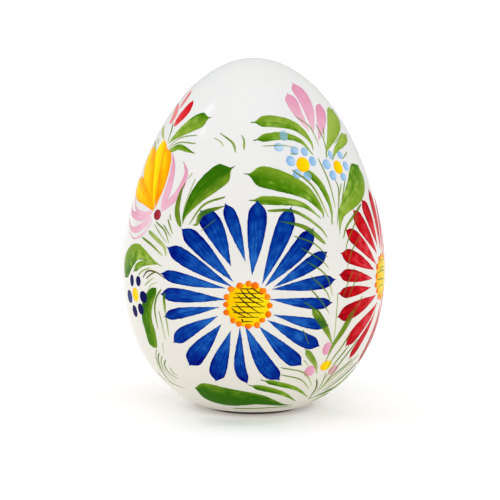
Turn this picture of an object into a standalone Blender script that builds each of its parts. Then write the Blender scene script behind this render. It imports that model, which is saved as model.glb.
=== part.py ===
"""A hollow earthenware egg, slip-cast, glazed and corked, that stands on a felt-lined foot.

Run it with blender --background --python part.py, or from Blender's text editor.
Units are metres and +Z is up. The egg's axis is the Z axis, and it stands on z = 0.
"""

import math

import bmesh
import bpy

# The whole egg
HEIGHT = 0.120  # from the surface that it stands on to the tip
BREADTH = 0.090  # across the widest ring
BELLY_DROP = 0.0114  # how far the widest ring lies below the middle of the full egg shape
FOOT_CUT = 0.0040  # height of the blunt end that the flat foot cuts away

# Ceramic
GLAZE_THICKNESS = 0.0005
GLAZE_SEAT = 0.0003  # clearance between the glaze and the clay that it is fused to
GLAZE_DRY_EDGE = 0.0006  # the glaze is wiped off this far above the foot, so that it can't stick in the kiln
WALL = 0.004
FLOOR_THICKNESS = 0.004
RECESS_RADIUS = 0.0115  # the hollow under the foot that leaves only a ring standing
RECESS_DEPTH = 0.006  # leaves room for fingernails or tweezers around and under the cork
VENT_RADIUS = 0.008  # the hole that the slip was poured out of, and that lets the kiln's steam out

# Cork
CORK_LENGTH = 0.012
CORK_PROUD = 0.0018  # how far it stands out of its hole, into the recess, to be gripped
CORK_TAPER = 0.0006  # how much its radius falls towards the inner end
CORK_CHAMFER = 0.0005
CORK_SEAT = 0.0003  # clearance around it at the mouth of the hole

# Felt
FELT_THICKNESS = 0.0008
FELT_SEAT = 0.0003  # the line of glue between the felt and the foot
FELT_MARGIN = 0.0007  # bare clay left between the recess and the felt
FELT_INSET = 0.0010  # bare clay left between the felt and the foot's outer edge

# Fineness of the meshes
SEGMENTS = 40  # steps around every turned piece
OUTER_STEPS = 28  # steps from tip to foot
INNER_STEPS = 22  # steps from the tip of the cavity to its floor
MERGE_DISTANCE = 0.00001

# Places that several pieces share
CLAY_INSET = GLAZE_THICKNESS + GLAZE_SEAT
FOOT_Z = FELT_THICKNESS + FELT_SEAT
EGG_LENGTH = HEIGHT - FOOT_Z + FOOT_CUT
EGG_MIDDLE_Z = HEIGHT - EGG_LENGTH / 2
RECESS_ROOF_Z = FOOT_Z + RECESS_DEPTH
FLOOR_Z = RECESS_ROOF_Z + FLOOR_THICKNESS


def egg_point(angle, inset):
    """(radius, z) on the egg shape that lies inset inside the outer one, angle radians from its tip.

    It is Huegelschaeffer's egg: an ellipse whose breadth is stretched towards the blunt end.
    """
    length = EGG_LENGTH - 2 * inset
    breadth = BREADTH - 2 * inset
    along = length / 2 * math.cos(angle)
    stretch = length / math.sqrt(length**2 + 8 * BELLY_DROP * along + 4 * BELLY_DROP**2)
    return breadth / 2 * math.sin(angle) * stretch, EGG_MIDDLE_Z + along


def egg_angle(z, inset):
    """The angle at which the egg shape that lies inset inside the outer one is at height z, low down."""
    return math.acos((z - EGG_MIDDLE_Z) / (EGG_LENGTH / 2 - inset))


def egg_side(inset, low_z, steps):
    """Points down the egg's side, from its tip to height low_z."""
    last = egg_angle(low_z, inset)
    side = [egg_point(last * step / steps, inset) for step in range(steps + 1)]
    return [(0.0, side[0][1])] + side[1:]


def material(name, colour, roughness):
    """A Principled material. Nothing here is metal."""
    made = bpy.data.materials.new(name)
    made.use_nodes = True
    shader = made.node_tree.nodes["Principled BSDF"]
    shader.inputs["Base Color"].default_value = (*colour, 1.0)
    shader.inputs["Roughness"].default_value = roughness
    shader.inputs["Metallic"].default_value = 0.0
    made.diffuse_color = (*colour, 1.0)
    return made


def turned(name, profile, closed, finish, collection, axis_z=0.0):
    """A solid of revolution about Z whose profile runs down its outer side, with its origin at axis_z."""
    mesh = bpy.data.meshes.new(name)
    shape = bmesh.new()
    points = [shape.verts.new((radius, 0.0, z - axis_z)) for radius, z in profile]
    for first, second in zip(points, points[1:]):
        shape.edges.new((first, second))
    if closed:
        shape.edges.new((points[-1], points[0]))
    shape.to_mesh(mesh)
    shape.free()
    made = bpy.data.objects.new(name, mesh)
    made.location.z = axis_z
    collection.objects.link(made)
    screw = made.modifiers.new("Turn", "SCREW")
    screw.steps = SEGMENTS
    screw.render_steps = SEGMENTS
    screw.use_merge_vertices = True
    screw.merge_threshold = MERGE_DISTANCE
    screw.use_smooth_shade = True
    mesh.materials.append(finish)
    return made


def biscuit_body(collection):
    """The fired clay: a hollow egg with a foot ring, a recessed underside and a hole through it."""
    outside = egg_side(CLAY_INSET, FOOT_Z, OUTER_STEPS)
    underside = [
        (RECESS_RADIUS, FOOT_Z),
        (RECESS_RADIUS, RECESS_ROOF_Z),
        (VENT_RADIUS, RECESS_ROOF_Z),
        (VENT_RADIUS, FLOOR_Z),
    ]
    inside = reversed(egg_side(CLAY_INSET + WALL, FLOOR_Z, INNER_STEPS))
    finish = material("fired_clay", (0.66, 0.50, 0.34), 0.9)
    return turned("biscuit_body", [*outside, *underside, *inside], False, finish, collection)


def glaze_coat(collection):
    """The white glaze: a thin skin over all of the clay but the foot."""
    low_z = FOOT_Z + GLAZE_DRY_EDGE
    outside = egg_side(0.0, low_z, OUTER_STEPS)
    inside = reversed(egg_side(GLAZE_THICKNESS, low_z, OUTER_STEPS))
    finish = material("white_glaze", (0.88, 0.88, 0.85), 0.12)
    return turned("glaze_coat", [*outside, *inside], False, finish, collection)


def vent_cork(collection):
    """The tapered cork in the hole. Its origin lies on its axis, at the mouth of the hole."""
    mouth_radius = VENT_RADIUS - CORK_SEAT
    low_z = RECESS_ROOF_Z - CORK_PROUD
    high_z = low_z + CORK_LENGTH
    high_radius = mouth_radius - CORK_TAPER
    profile = [
        (0.0, high_z),
        (high_radius - CORK_CHAMFER, high_z),
        (high_radius, high_z - CORK_CHAMFER),
        (mouth_radius, low_z + CORK_CHAMFER),
        (mouth_radius - CORK_CHAMFER, low_z),
        (0.0, low_z),
    ]
    finish = material("natural_cork", (0.48, 0.27, 0.12), 0.85)
    return turned("vent_cork", profile, False, finish, collection, RECESS_ROOF_Z)


def foot_felt(collection):
    """The ring of felt under the foot, which is what meets the shelf."""
    foot_radius, _ = egg_point(egg_angle(FOOT_Z, CLAY_INSET), CLAY_INSET)
    inner, outer = RECESS_RADIUS + FELT_MARGIN, foot_radius - FELT_INSET
    profile = [(inner, FELT_THICKNESS), (outer, FELT_THICKNESS), (outer, 0.0), (inner, 0.0)]
    finish = material("dark_felt", (0.035, 0.035, 0.03), 1.0)
    return turned("foot_felt", profile, True, finish, collection)


def main():
    """Clears the scene and makes the egg's pieces, in one collection."""
    for old in list(bpy.data.objects):
        bpy.data.objects.remove(old, do_unlink=True)
    collection = bpy.data.collections.new("decorated_egg")
    bpy.context.scene.collection.children.link(collection)
    for make in (biscuit_body, glaze_coat, vent_cork, foot_felt):
        make(collection)


if __name__ == "__main__":
    main()
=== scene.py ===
"""A hollow earthenware egg with a glazed, hand-painted outside, a corked vent and a felt-lined foot.

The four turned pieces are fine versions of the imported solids. The painting is a set of thin films of
pigment, one film for each kind of stroke and pigment, laid on the glaze by a Geometry Nodes tree that
follows the path of each brush stroke.
"""

import enum
import logging
import math
import random
from dataclasses import dataclass, field
from typing import Any

import bpy
import numpy as np
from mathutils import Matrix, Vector


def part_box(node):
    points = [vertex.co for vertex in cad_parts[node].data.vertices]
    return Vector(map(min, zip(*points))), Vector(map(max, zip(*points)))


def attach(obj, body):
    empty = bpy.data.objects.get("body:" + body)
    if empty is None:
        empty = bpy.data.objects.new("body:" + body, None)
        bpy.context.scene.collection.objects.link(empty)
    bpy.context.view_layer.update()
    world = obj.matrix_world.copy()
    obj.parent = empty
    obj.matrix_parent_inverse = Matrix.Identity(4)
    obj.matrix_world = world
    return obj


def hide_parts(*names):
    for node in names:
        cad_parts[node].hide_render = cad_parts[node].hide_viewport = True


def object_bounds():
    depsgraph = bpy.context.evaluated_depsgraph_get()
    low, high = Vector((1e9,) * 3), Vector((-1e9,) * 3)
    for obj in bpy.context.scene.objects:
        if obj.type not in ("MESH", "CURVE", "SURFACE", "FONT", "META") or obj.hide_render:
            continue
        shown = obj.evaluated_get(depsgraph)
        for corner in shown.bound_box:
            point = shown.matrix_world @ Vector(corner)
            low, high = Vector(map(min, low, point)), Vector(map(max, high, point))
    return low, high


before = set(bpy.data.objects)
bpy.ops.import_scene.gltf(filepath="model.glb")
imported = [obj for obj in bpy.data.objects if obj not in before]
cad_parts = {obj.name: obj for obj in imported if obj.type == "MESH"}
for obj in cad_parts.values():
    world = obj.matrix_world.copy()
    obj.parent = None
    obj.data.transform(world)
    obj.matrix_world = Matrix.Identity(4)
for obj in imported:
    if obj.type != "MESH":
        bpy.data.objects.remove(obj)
CAD_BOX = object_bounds()

MM = 0.001
LOG = logging.getLogger("egg")
Point = tuple[float, float]
Tree, Thing = bpy.types.NodeTree, bpy.types.Object


# ---------------------------------------------------------------- small tools


def linear(hex_colour: str) -> tuple[float, float, float, float]:
    """Turns an sRGB hex value into the linear colour that nodes take.

    Args:
        hex_colour: Six hex digits after a hash.

    Returns:
        Linear red, green and blue, and an alpha of 1.
    """
    parts = (int(hex_colour[i : i + 2], 16) / 255 for i in (1, 3, 5))
    red, green, blue = (c / 12.92 if c <= 0.04045 else ((c + 0.055) / 1.055) ** 2.4 for c in parts)
    return red, green, blue, 1.0


def add(tree: Tree, kind: str, inputs: Any = (), operation: str = "", **settings: Any) -> bpy.types.Node:
    """Adds a node with its settings and links.

    Args:
        tree: The shader or geometry tree.
        kind: The node's type, without ShaderNode where it begins with that.
        inputs: A constant, or the output or node that feeds it, for each socket: in a list in the
            sockets' order, or in a dictionary by the socket's name or number.
        operation: What a sum does.
        **settings: The node's own properties, set before the inputs.

    Returns:
        The new node.
    """
    node = tree.nodes.new(kind if "Node" in kind else "ShaderNode" + kind)
    if operation:
        node.operation = operation
    for name, value in settings.items():
        setattr(node, name, value)
    for key, value in inputs.items() if isinstance(inputs, dict) else enumerate(inputs):
        if isinstance(value, bpy.types.Node):
            value = next(out for out in value.outputs if out.enabled)
        if isinstance(value, bpy.types.NodeSocket):
            tree.links.new(value, node.inputs[key])
        else:
            node.inputs[key].default_value = value
    return node


def put(name: str, data: Any) -> Thing:
    """Puts a new object with the given mesh, lamp or camera into the scene."""
    made = bpy.data.objects.new(name, data)
    bpy.context.scene.collection.objects.link(made)
    return made


def new_tree(name: str, inputs: dict[str, str]) -> tuple[Tree, bpy.types.Node]:
    """Starts a Geometry Nodes tree.

    Args:
        name: The tree's name.
        inputs: For each named input after the geometry, its socket type.

    Returns:
        The tree and its input node.
    """
    tree = bpy.data.node_groups.new(name, "GeometryNodeTree")
    for key, kind in {"Geometry": "NodeSocketGeometry", **inputs}.items():
        tree.interface.new_socket(key, in_out="INPUT", socket_type=kind)
    tree.interface.new_socket("Geometry", in_out="OUTPUT", socket_type="NodeSocketGeometry")
    return tree, tree.nodes.new("NodeGroupInput")


def end_tree(tree: Tree, given: bpy.types.Node, made: bpy.types.Node, smooth: Any) -> None:
    """Ends a Geometry Nodes tree with smooth shading, real instances and the material.

    Args:
        tree: The tree.
        given: Its input node.
        made: The node that gives the finished geometry.
        smooth: Which faces are shaded smooth.
    """
    made = add(tree, "GeometryNodeSetShadeSmooth", {"Geometry": made, "Selection": smooth})
    made = add(tree, "GeometryNodeRealizeInstances", {"Geometry": made})
    made = add(tree, "GeometryNodeSetMaterial", {"Geometry": made, "Material": given.outputs["Material"]})
    add(tree, "NodeGroupOutput", {"Geometry": made})


def run_tree(
    tree: Tree,
    name: str,
    points: np.ndarray,
    inputs: dict[str, Any],
    edges: np.ndarray | None = None,
    attributes: dict[str, list] | None = None,
) -> Thing:
    """Runs a Geometry Nodes tree on points and edges, and keeps its result as a plain mesh.

    Args:
        tree: The tree.
        name: The name of the piece.
        points: One row for each point, in metres.
        inputs: Values for the tree's named inputs.
        edges: Pairs of point numbers.
        attributes: Values for each point, numbers or vectors.

    Returns:
        The finished object, at the origin.
    """
    guide = bpy.data.meshes.new(name + "_guide")
    guide.from_pydata(points.tolist(), [] if edges is None else edges.tolist(), [])
    for key, listed in (attributes or {}).items():
        values = np.array(listed, np.float32)
        kind, slot = ("FLOAT", "value") if values.ndim == 1 else ("FLOAT_VECTOR", "vector")
        guide.attributes.new(key, kind, "POINT").data.foreach_set(slot, values.ravel())
    source = put(name + "_guide", guide)
    modifier = source.modifiers.new("tree", "NODES")
    modifier.node_group = tree
    sockets = {s.name: s.identifier for s in tree.interface.items_tree if s.in_out == "INPUT"}
    for key, value in inputs.items():
        modifier[sockets[key]] = value
    graph = bpy.context.evaluated_depsgraph_get()
    graph.update()
    mesh = bpy.data.meshes.new_from_object(source.evaluated_get(graph), depsgraph=graph)
    source.modifiers.clear()
    bpy.data.objects.remove(source)
    mesh.name = name
    return put(name, mesh)


def give(piece: Thing, body: str, slot: str, *nodes: str) -> None:
    """Hands a finished piece to the frame and reports it.

    Args:
        piece: The piece.
        body: The CAD body that it rides on.
        slot: The record's material slot. Not used.
        *nodes: The CAD nodes that it stands for.
    """
    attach(piece, body)
    if nodes:
        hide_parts(*nodes)
    LOG.info("%s rides on %s with %d faces", piece.name, body, len(piece.data.polygons))


# ---------------------------------------------------------------- the egg's shape

LOW, HIGH = CAD_BOX


@dataclass(frozen=True)
class EggShape:
    """Huegelschaeffer's egg: an ellipse whose breadth is stretched towards the blunt end."""

    tip_z: float = HIGH[2]
    foot_z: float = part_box("biscuit_body")[0].z
    foot_cut: float = 4.0 * MM  # height of the blunt end that the flat foot cuts away
    breadth: float = HIGH[0] - LOW[0]
    belly_drop: float = 11.4 * MM  # how far the widest ring lies below the middle of the full shape
    skin: float = 0.06 * MM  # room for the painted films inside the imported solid's box

    @property
    def length(self) -> float:
        """Tip to blunt end, before the foot cuts the blunt end off."""
        return self.tip_z - self.foot_z + self.foot_cut

    @property
    def middle_z(self) -> float:
        """Height of the middle of the full shape."""
        return self.tip_z - self.length / 2

    def radius(self, z: Any, inset: float = 0.0) -> Any:
        """Gives the radius at a height.

        Args:
            z: Height, one number or an array.
            inset: How far the shape lies inside the outer one.

        Returns:
            The radius, one number or an array.
        """
        length, breadth = self.length - 2 * inset, self.breadth - 2 * inset
        x, w = np.asarray(z) - self.middle_z, self.belly_drop
        square = (length**2 - 4 * x**2) / (length**2 + 8 * w * x + 4 * w**2)
        return breadth / 2 * np.sqrt(np.maximum(square, 0.0))

    def profile(self, low_z: float, inset: float, steps: int) -> list[Point]:
        """Gives the outline from the tip down to a height.

        Args:
            low_z: Where it stops.
            inset: How far it lies inside the outer shape.
            steps: How many stretches it has.

        Returns:
            Radius and height of each point, tip first.
        """
        half = self.length / 2 - inset
        last = math.acos((low_z - self.middle_z) / half)
        heights = self.middle_z + half * np.cos(np.linspace(0, last, steps + 1))
        radii = self.radius(heights, inset)
        radii[0] = 0.0
        return list(zip(radii.tolist(), heights.tolist()))


MERIDIAN_POINTS = 1500  # at which the way up the egg is measured


@dataclass(frozen=True)
class Chart:
    """A flat chart of the egg around one place: millimetres to the right and up along the meridian."""

    egg: EggShape
    azimuth: float  # degrees, 0 faces -Y and 90 faces +X
    height: float  # millimetres above the surface that the egg stands on
    _heights: np.ndarray = field(init=False, repr=False)
    _arcs: np.ndarray = field(init=False, repr=False)

    def __post_init__(self) -> None:
        """Measures the meridian from the foot up."""
        egg = self.egg
        turn = np.linspace(math.pi, 0, MERIDIAN_POINTS)
        heights = egg.middle_z + egg.length / 2 * np.cos(turn)
        radii = egg.radius(heights)
        arcs = np.concatenate([[0], np.cumsum(np.hypot(np.diff(heights), np.diff(radii)))])
        object.__setattr__(self, "_heights", heights)
        object.__setattr__(self, "_arcs", arcs)

    def place(self, points: np.ndarray) -> np.ndarray:
        """Lays points of the chart on the egg.

        Args:
            points: Rows of millimetres right and up.

        Returns:
            Rows of x, y and z in metres, on the glaze.
        """
        here = np.interp(self.height * MM, self._heights, self._arcs)
        z = np.interp(here + points[:, 1] * MM, self._arcs, self._heights)
        radius = self.egg.radius(z, self.egg.skin)
        angle = math.radians(self.azimuth) + points[:, 0] * MM / radius
        return np.column_stack([radius * np.sin(angle), -radius * np.cos(angle), z])


# ---------------------------------------------------------------- Geometry Nodes trees


def turning_tree() -> Tree:
    """Makes the tree that turns an outline about the Z axis.

    The outline's points are sampled in order, so an outline may double back to make a wall.

    Returns:
        The tree, with the inputs Steps around, Weld and Material.
    """
    sockets = {"Steps around": "NodeSocketInt", "Weld": "NodeSocketFloat", "Material": "NodeSocketMaterial"}
    tree, given = new_tree("turn_on_axis", sockets)
    outline, steps = given.outputs["Geometry"], given.outputs["Steps around"]
    rows = add(tree, "GeometryNodeAttributeDomainSize", [outline])
    columns = add(tree, "Math", [steps, 1.0], "ADD")
    grid = add(tree, "GeometryNodeMeshGrid", {"Vertices X": columns, "Vertices Y": rows})
    index = add(tree, "GeometryNodeInputIndex")
    row = add(tree, "Math", [index, rows], "FLOORED_MODULO")
    column = add(tree, "Math", [index, rows], "DIVIDE")
    column = add(tree, "Math", [column], "FLOOR")
    angle = add(tree, "Math", [column, steps], "DIVIDE")
    angle = add(tree, "Math", [angle, 2 * math.pi], "MULTIPLY")
    place = {"Geometry": outline, "Value": add(tree, "GeometryNodeInputPosition"), "Index": row}
    point = add(tree, "GeometryNodeSampleIndex", place, data_type="FLOAT_VECTOR")
    turned = add(tree, "VectorRotate", {"Vector": point, "Angle": angle}, rotation_type="Z_AXIS")
    shaped = add(tree, "GeometryNodeSetPosition", {"Geometry": grid, "Position": turned})
    closed = add(tree, "GeometryNodeMergeByDistance", {"Geometry": shaped, "Distance": given.outputs["Weld"]})
    end_tree(tree, given, closed, True)
    return tree


EGG_SIZES = ("Length", "Breadth", "Belly drop", "Middle height")

# The egg formula as a chain of sums: each row names its result, its operation and its terms.
EGG_FORMULA = (
    ("along", "SUBTRACT", "z", "Middle height"),
    ("length", "MULTIPLY_ADD", "rise", 2.0, "Length"),
    ("breadth", "MULTIPLY_ADD", "rise", 2.0, "Breadth"),
    ("length squared", "MULTIPLY", "length", "length"),
    ("along squared", "MULTIPLY", "along", "along"),
    ("upper", "MULTIPLY_ADD", "along squared", -4.0, "length squared"),
    ("shift", "MULTIPLY_ADD", "along", 2.0, "Belly drop"),
    ("drop", "MULTIPLY", "Belly drop", 4.0),
    ("lower", "MULTIPLY_ADD", "drop", "shift", "length squared"),
    ("share", "DIVIDE", "upper", "lower"),
    ("root", "SQRT", "share"),
    ("half", "MULTIPLY", "breadth", 0.5),
    ("radius", "MULTIPLY", "root", "half"),
)


def brush_tree() -> Tree:
    """Makes the tree that lays films of pigment on the egg along the paths of brush strokes.

    Each path point carries half_width, a side vector, its rise above the glaze, and what the
    pigment's finish reads. A ring of points is swept along the path, flattened into a film whose
    upper face follows the egg formula, and frayed at its edges.

    Returns:
        The tree.
    """
    sockets = dict.fromkeys((*EGG_SIZES, "Sink", "Fray"), "NodeSocketFloat")
    sockets |= dict.fromkeys(("Under", "Second under"), "NodeSocketObject")
    sockets |= {"Steps across": "NodeSocketInt", "Material": "NodeSocketMaterial"}
    tree, given = new_tree("lay_brush_strokes", sockets)

    # The flattened ring: half of its points on top, from one edge to the other, half below.
    steps = given.outputs["Steps across"]
    points = add(tree, "Math", [steps, 2.0], "MULTIPLY")
    ring = add(tree, "GeometryNodeCurvePrimitiveCircle", {"Resolution": points})
    turn = add(tree, "Math", [add(tree, "GeometryNodeInputIndex"), 0.5], "ADD")
    turn = add(tree, "Math", [turn, math.pi], "MULTIPLY")
    turn = add(tree, "Math", [turn, steps], "DIVIDE")
    across = add(tree, "Math", [turn], "COSINE")
    above = add(tree, "Math", [turn], "SINE")
    above = add(tree, "Math", [above, 0.0], "GREATER_THAN")
    for name, value in (("across", across), ("above", above)):
        ring = add(tree, "GeometryNodeStoreNamedAttribute", {"Geometry": ring, "Name": name, "Value": value})

    # The ring is swept as a hair-thin tube. Its points find their real places below.
    path = add(tree, "GeometryNodeMeshToCurve", [given.outputs["Geometry"]])
    centre = {"Geometry": path, "Name": "centre", "Value": add(tree, "GeometryNodeInputPosition")}
    path = add(tree, "GeometryNodeStoreNamedAttribute", centre, data_type="FLOAT_VECTOR")
    sweep = {"Curve": path, "Profile Curve": ring, "Scale": 0.1 * MM, "Fill Caps": True}
    film = add(tree, "GeometryNodeCurveToMesh", sweep)
    kinds = dict.fromkeys(("centre", "side"), "FLOAT_VECTOR")
    kinds |= dict.fromkeys(("half_width", "across", "above", "rise"), "FLOAT")
    read = {
        name: add(tree, "GeometryNodeInputNamedAttribute", {"Name": name}, data_type=kind)
        for name, kind in kinds.items()
    }

    # The fray moves the edges most, and the middle of the film not at all.
    ragged = {"Vector": read["centre"], "Scale": 0.9 / MM, "Detail": 2.0, "W": read["across"]}
    fray = add(tree, "TexNoise", ragged, noise_dimensions="4D")
    fray = add(tree, "Math", [fray, 0.5], "SUBTRACT")
    fray = add(tree, "Math", [fray, given.outputs["Fray"]], "MULTIPLY")
    half = add(tree, "Math", [read["half_width"], fray], "ADD")
    half = add(tree, "Math", [half, 0.02 * MM], "MAXIMUM")
    reach = add(tree, "Math", [half, read["across"]], "MULTIPLY")
    offset = add(tree, "VectorMath", {0: read["side"], "Scale": reach}, "SCALE")
    spot = add(tree, "VectorMath", [read["centre"], offset], "ADD")

    # Onto the egg: the film's upper face stands its rise proud, its lower face sinks into the glaze.
    apart = add(tree, "SeparateXYZ", [spot])
    up = add(tree, "Math", [read["above"], read["rise"]], "MULTIPLY")
    down = add(tree, "Math", [1.0, read["above"]], "SUBTRACT")
    down = add(tree, "Math", [down, given.outputs["Sink"]], "MULTIPLY")
    known: dict[Any, Any] = {name: given.outputs[name] for name in EGG_SIZES}
    known |= {"z": apart.outputs["Z"], "rise": add(tree, "Math", [up, down], "SUBTRACT")}
    for name, operation, *terms in EGG_FORMULA:
        known[name] = add(tree, "Math", [known.get(term, term) for term in terms], operation)
    flat = add(tree, "CombineXYZ", [apart.outputs["X"], apart.outputs["Y"]])
    flat = add(tree, "VectorMath", [flat], "NORMALIZE")
    flat = add(tree, "VectorMath", {0: flat, "Scale": known["radius"]}, "SCALE")
    height = add(tree, "CombineXYZ", {"Z": apart.outputs["Z"]})
    spot = add(tree, "VectorMath", [flat, height], "ADD")
    film = add(tree, "GeometryNodeSetPosition", {"Geometry": film, "Position": spot})

    # Where the stroke crosses another film, the pigments add up.
    for name, key in (("over", "Under"), ("over_second", "Second under")):
        under = add(tree, "GeometryNodeObjectInfo", {"Object": given.outputs[key]})
        near = add(tree, "GeometryNodeProximity", [under.outputs["Geometry"]])
        over = add(tree, "MapRange", [near.outputs["Distance"], 0.06 * MM, 0.25 * MM, 1.0, 0.0])
        over = add(tree, "Math", [over, near.outputs["Is Valid"]], "MULTIPLY")
        film = add(tree, "GeometryNodeStoreNamedAttribute", {"Geometry": film, "Name": name, "Value": over})
    top = add(tree, "Math", [read["above"], 0.99], "GREATER_THAN")
    end_tree(tree, given, film, top)
    return tree


# ---------------------------------------------------------------- finishes


class Finish:
    """What all finishes share: one surface shader, fed by what the finish paints."""

    name: str

    def paint(self, tree: Tree) -> dict[str, Any]:
        """Builds the finish's own nodes, and gives what feeds the shader."""
        raise NotImplementedError

    def material(self) -> bpy.types.Material:
        """Makes the material.

        Returns:
            The material.
        """
        material = bpy.data.materials.new(self.name)
        material.use_nodes = True
        tree = material.node_tree
        tree.nodes.clear()
        add(tree, "OutputMaterial", [add(tree, "BsdfPrincipled", self.paint(tree))])
        return material


@dataclass(frozen=True)
class WhiteGlaze(Finish):
    """Glossy white tin glaze over slip-cast earthenware."""

    name: str = "white_tin_glaze"
    body: str = "#edecea"
    cool: str = "#e6e8e8"
    # foot: the darker, warmer colour painted near the foot as shade and floor bounce
    foot: str = "#e3dfd3"
    painted_shade_from: float = 100 * MM  # height where the painted shade and warm bounce towards the foot begin
    painted_shade_to: float = 15 * MM
    roughness: float = 0.12
    mottle_mm: float = 14.0  # clouds where the glaze flowed thicker
    ripple_mm: float = 5.0  # the slow orange peel of a fired glaze

    def paint(self, tree: Tree) -> dict[str, Any]:
        """Gives the eye a clean white skin, faintly clouded, with painted shade and warm bounce towards the
        foot; its gloss ripples a little.

        Args:
            tree: The material's nodes.

        Returns:
            What feeds the shader.
        """
        where = add(tree, "TexCoord").outputs["Object"]
        cloud = add(tree, "TexNoise", {"Vector": where, "Scale": 1 / (self.mottle_mm * MM), "Detail": 3.0})
        tints = {"Factor": cloud, "A": linear(self.body), "B": linear(self.cool)}
        tint = add(tree, "Mix", tints, data_type="RGBA")
        # Painted shade and warm floor bounce: the glaze colour turns darker and more ivory towards the foot.
        height = add(tree, "SeparateXYZ", [where]).outputs["Z"]
        thin = add(tree, "MapRange", [height, self.painted_shade_from, self.painted_shade_to])
        tint = add(tree, "Mix", {"Factor": thin, "A": tint, "B": linear(self.foot)}, data_type="RGBA")
        ripple = add(tree, "TexNoise", {"Vector": where, "Scale": 1 / (self.ripple_mm * MM), "Detail": 1.0})
        bump = add(tree, "Bump", {"Height": ripple, "Distance": 0.02 * MM, "Strength": 0.6})
        return {"Base Color": tint, "Roughness": self.roughness, "Specular IOR Level": 0.3, "Normal": bump}


@dataclass(frozen=True)
class Pigment(Finish):
    """A ceramic colour laid on the glaze with a wet brush and fired in."""

    name: str
    deep: str
    body: str
    thin: str
    other: str | None = None  # the second colour on one side of a double-loaded brush
    hair_mm: float = 0.45  # width of one streak, drawn a little coarser than the brush's hairs
    run: float = 20.0  # how many times longer than wide a streak is
    cloud_mm: float = 3.5  # size of the patches where the wash pooled
    streak: float = 0.5
    blotch: float = 0.5  # strength of the cloudy patches beside that of the streaks
    pool: float = 0.35  # how much darker the rim of a stroke dries
    rim: float = 5.0  # power that keeps the pool close to the edge
    tip: float = 0.35  # how much darker the first part of a stroke is
    tail: float = 0.25  # how much paler its last part is
    cover: float = 0.8  # how far the next two colours take over where films cross
    crossing: str = "#1b5a26"  # the colour where it lies over the film under it
    second_crossing: str = "#7a4a12"  # and over a second one

    def paint(self, tree: Tree) -> dict[str, Any]:
        """Gives the eye a glossy colour, deep where the brush was full and streaked where it ran dry.

        Args:
            tree: The material's nodes.

        Returns:
            What feeds the shader.
        """
        read = {
            name: add(tree, "Attribute", attribute_name=name).outputs["Fac"]
            for name in ("along", "reach", "wide", "seed", "tone", "over", "over_second", "across")
        }
        across = add(tree, "Math", [read["across"], read["wide"]], "MULTIPLY")
        across = add(tree, "Math", [across, 1 / self.hair_mm], "MULTIPLY")
        lengthwise = add(tree, "Math", [read["reach"], 1 / (self.hair_mm * self.run)], "MULTIPLY")
        where = add(tree, "CombineXYZ", [across, lengthwise, read["seed"]])
        hairs = add(tree, "TexNoise", {"Vector": where, "Scale": 1.0, "Detail": 3.0, "Roughness": 0.6})
        place = add(tree, "TexCoord").outputs["Object"]
        wash = add(tree, "TexNoise", {"Vector": place, "Scale": 1 / (self.cloud_mm * MM), "Detail": 3.0})
        # The load of pigment: streaks and clouds around 0, on the stroke's tone, with a rim, tip and tail.
        mixed = add(tree, "Math", [wash, self.blotch, hairs], "MULTIPLY_ADD")
        mixed = add(tree, "Math", [mixed, 0.5 + 0.5 * self.blotch], "SUBTRACT")
        load = add(tree, "Math", [mixed, 2.2 * self.streak, read["tone"]], "MULTIPLY_ADD")
        edge = add(tree, "Math", [read["across"]], "ABSOLUTE")
        edge = add(tree, "Math", [edge, self.rim], "POWER")
        load = add(tree, "Math", [edge, self.pool, load], "MULTIPLY_ADD")
        for first, last, begins, ends in ((0.0, 0.4, self.tip, 0.0), (0.35, 0.9, 0.0, -self.tail)):
            stretch = add(tree, "MapRange", [read["along"], first, last, begins, ends])
            load = add(tree, "Math", [load, stretch], "ADD")
        colour = add(tree, "ValToRGB", [load])
        stops = colour.color_ramp.elements
        stops.new(0.5)
        for stop, position, shade in zip(stops, (0.05, 0.5, 0.95), (self.thin, self.body, self.deep)):
            stop.position, stop.color = position, linear(shade)
        if self.other:
            side = add(tree, "Math", [mixed, 1.6, read["across"]], "MULTIPLY_ADD")
            # A full brush leaves little of its second colour.
            full = add(tree, "MapRange", [read["tone"], 0.6, 1.3, 0.0, 0.55])
            side = add(tree, "Math", [side, full], "SUBTRACT")
            side = add(tree, "MapRange", [side, -0.2, 0.9, 0.0, 0.85])
            doubled = {"Factor": side, "A": colour, "B": linear(self.other)}
            colour = add(tree, "Mix", doubled, data_type="RGBA")
        for name, shade in (("over", self.crossing), ("over_second", self.second_crossing)):
            crossed = add(tree, "Math", [read[name], self.cover], "MULTIPLY")
            colour = add(tree, "Mix", {"Factor": crossed, "A": colour, "B": linear(shade)}, data_type="RGBA")
        bump = add(tree, "Bump", {"Height": hairs, "Distance": 0.01 * MM, "Strength": 0.3})
        return {"Base Color": colour, "Roughness": 0.18, "Specular IOR Level": 0.015, "Normal": bump}


@dataclass(frozen=True)
class Biscuit(Finish):
    """Unglazed white earthenware, fired once."""

    name: str = "biscuit_earthenware"
    pale: str = "#e6ddcb"
    dark: str = "#cdbfa6"
    grain_mm: float = 0.35
    cloud_mm: float = 9.0

    def paint(self, tree: Tree) -> dict[str, Any]:
        """Gives the eye a dry, matt, faintly gritty cream where the glaze stops.

        Args:
            tree: The material's nodes.

        Returns:
            What feeds the shader.
        """
        where = add(tree, "TexCoord").outputs["Object"]
        grain = add(tree, "TexNoise", {"Vector": where, "Scale": 1 / (self.grain_mm * MM), "Detail": 4.0})
        cloud = add(tree, "TexNoise", {"Vector": where, "Scale": 1 / (self.cloud_mm * MM), "Detail": 2.0})
        both = add(tree, "Math", [grain, cloud], "MULTIPLY")
        both = add(tree, "MapRange", [both, 0.12, 0.4])
        colour = {"Factor": both, "A": linear(self.dark), "B": linear(self.pale)}
        bump = add(tree, "Bump", {"Height": grain, "Distance": 0.05 * MM, "Strength": 0.7})
        return {"Base Color": add(tree, "Mix", colour, data_type="RGBA"), "Roughness": 0.85, "Normal": bump}


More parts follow.
